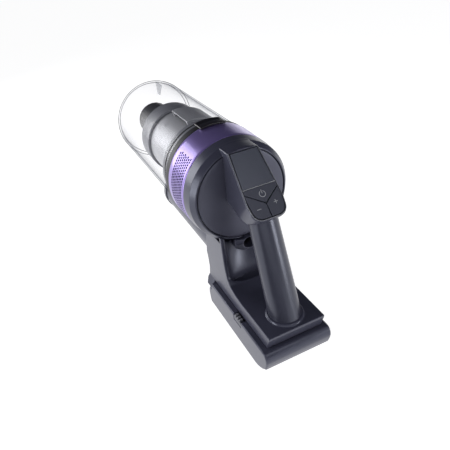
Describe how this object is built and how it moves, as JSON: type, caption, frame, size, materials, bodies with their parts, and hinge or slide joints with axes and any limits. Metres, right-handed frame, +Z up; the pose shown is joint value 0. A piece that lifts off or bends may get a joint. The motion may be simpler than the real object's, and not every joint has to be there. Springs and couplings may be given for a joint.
{
  "type": "cordless hand-held vacuum cleaner",
  "caption": "Hand-held unit of a cordless stick vacuum with clear dust bin, cyclone, perforated motor ring, control head, grip and sliding battery.",
  "frame": {"origin": "on the battery's flat underside, which the unit stands on, below the barrel's axis and 40 mm behind the exhaust ring's rear edge", "axes": "+Z up, +Y along the motor barrel towards the front of the dust bin, +X to the right seen from behind the grip"},
  "size_m": [0.112, 0.3722, 0.2112],
  "materials": {
    "body_plastic": "satin",
    "purple_shell": "satin",
    "black_plastic": "satin",
    "filter_felt": "matte",
    "rubber": "matte",
    "light_metal": "satin",
    "steel": "satin",
    "circuit_board": "satin",
    "grey_plastic": "satin",
    "contact_brass": "satin",
    "screen_glass": "gloss",
    "clear_plastic": "gloss",
    "silver_shell": "satin",
    "dark_plastic": "satin",
    "black_gloss": "gloss",
    "cell_body": "satin",
    "natural_plastic": "satin",
    "key_plastic": "satin"
  },
  "bodies": {
    "main_unit": {"leg_and_cradle": "body_plastic", "motor_housing": "black_plastic", "exhaust_ring": "purple_shell", "rear_housing": "body_plastic", "rear_cover": "body_plastic", "exhaust_filter": "filter_felt", "motor_mount": "rubber", "impeller_shroud": "black_plastic", "diffuser": "black_plastic", "front_bracket": "light_metal", "front_bearing": "steel", "stator": "steel", "rear_bearing": "steel", "rear_bracket": "light_metal", "motor_board": "circuit_board", "inlet_tube": "body_plastic", "inlet_rim": "grey_plastic", "wand_contacts": "black_plastic", "cradle_terminal": "contact_brass", "charging_socket": "black_plastic", "grip_front": "body_plastic", "grip_rear": "body_plastic", "power_leads": "rubber", "control_head": "body_plastic", "display_board": "circuit_board", "display_lens": "screen_glass"},
    "dust_bin": {"dust_bin": "clear_plastic", "bin_collar": "black_plastic", "bin_seal": "rubber", "latch_spring": "steel"},
    "cyclone": {"cyclone_base": "grey_plastic", "cyclone_seal": "rubber", "premotor_filter": "filter_felt", "inlet_scoop": "grey_plastic", "cyclone_body": "silver_shell", "cyclone_skirt": "grey_plastic", "dust_tube": "dark_plastic", "tube_seal": "rubber", "cyclone_cones": "dark_plastic"},
    "bin_latch": {"bin_latch": "black_gloss"},
    "rotor": {"rotor": "steel", "impeller": "light_metal"},
    "battery": {"battery_case": "body_plastic", "battery_lid": "black_plastic", "battery_terminal": "contact_brass", "cell_1": "cell_body", "cell_2": "cell_body", "cell_3": "cell_body", "cell_4": "cell_body", "cell_5": "cell_body", "cell_6": "cell_body", "cell_saddle": "natural_plastic", "battery_board": "circuit_board"},
    "release_left": {"release_button_left": "key_plastic"},
    "release_right": {"release_button_right": "key_plastic"},
    "power_key": {"power_button": "key_plastic"},
    "minus_key": {"minus_button": "key_plastic"},
    "plus_key": {"plus_button": "key_plastic"}
  },
  "joints": [
    {"name": "bin_slide", "type": "slide", "parent": "main_unit", "child": "dust_bin", "axis": [0, 1, 0], "range_m": [0, 0.08]},
    {"name": "cyclone_twist", "type": "hinge", "parent": "dust_bin", "child": "cyclone", "pos_m": [0, 0.14, 0.1523], "axis": [0, 1, 0], "range_deg": [0, 30]},
    {"name": "bin_latch_rock", "type": "hinge", "parent": "dust_bin", "child": "bin_latch", "pos_m": [0, 0.082, 0.2096], "axis": [1, 0, 0], "range_deg": [-5, 0], "stiffness_Nm_per_rad": 0.6},
    {"name": "rotor_spin", "type": "hinge", "parent": "main_unit", "child": "rotor", "pos_m": [0, 0.05, 0.1523], "axis": [0, 1, 0], "continuous": true},
    {"name": "battery_slide", "type": "slide", "parent": "main_unit", "child": "battery", "axis": [0, -1, 0], "range_m": [0, 0.12]},
    {"name": "release_left_press", "type": "slide", "parent": "battery", "child": "release_left", "axis": [1, 0, 0], "range_m": [0, 0.0015], "stiffness_N_per_m": 600},
    {"name": "release_right_press", "type": "slide", "parent": "battery", "child": "release_right", "axis": [-1, 0, 0], "range_m": [0, 0.0015], "stiffness_N_per_m": 600},
    {"name": "power_key_press", "type": "slide", "parent": "main_unit", "child": "power_key", "axis": [0, 0.7071, -0.7071], "range_m": [0, 0.0008], "stiffness_N_per_m": 800},
    {"name": "minus_key_press", "type": "slide", "parent": "main_unit", "child": "minus_key", "axis": [0, 0.7071, -0.7071], "range_m": [0, 0.0008], "stiffness_N_per_m": 800},
    {"name": "plus_key_press", "type": "slide", "parent": "main_unit", "child": "plus_key", "axis": [0, 0.7071, -0.7071], "range_m": [0, 0.0008], "stiffness_N_per_m": 800}
  ]
}
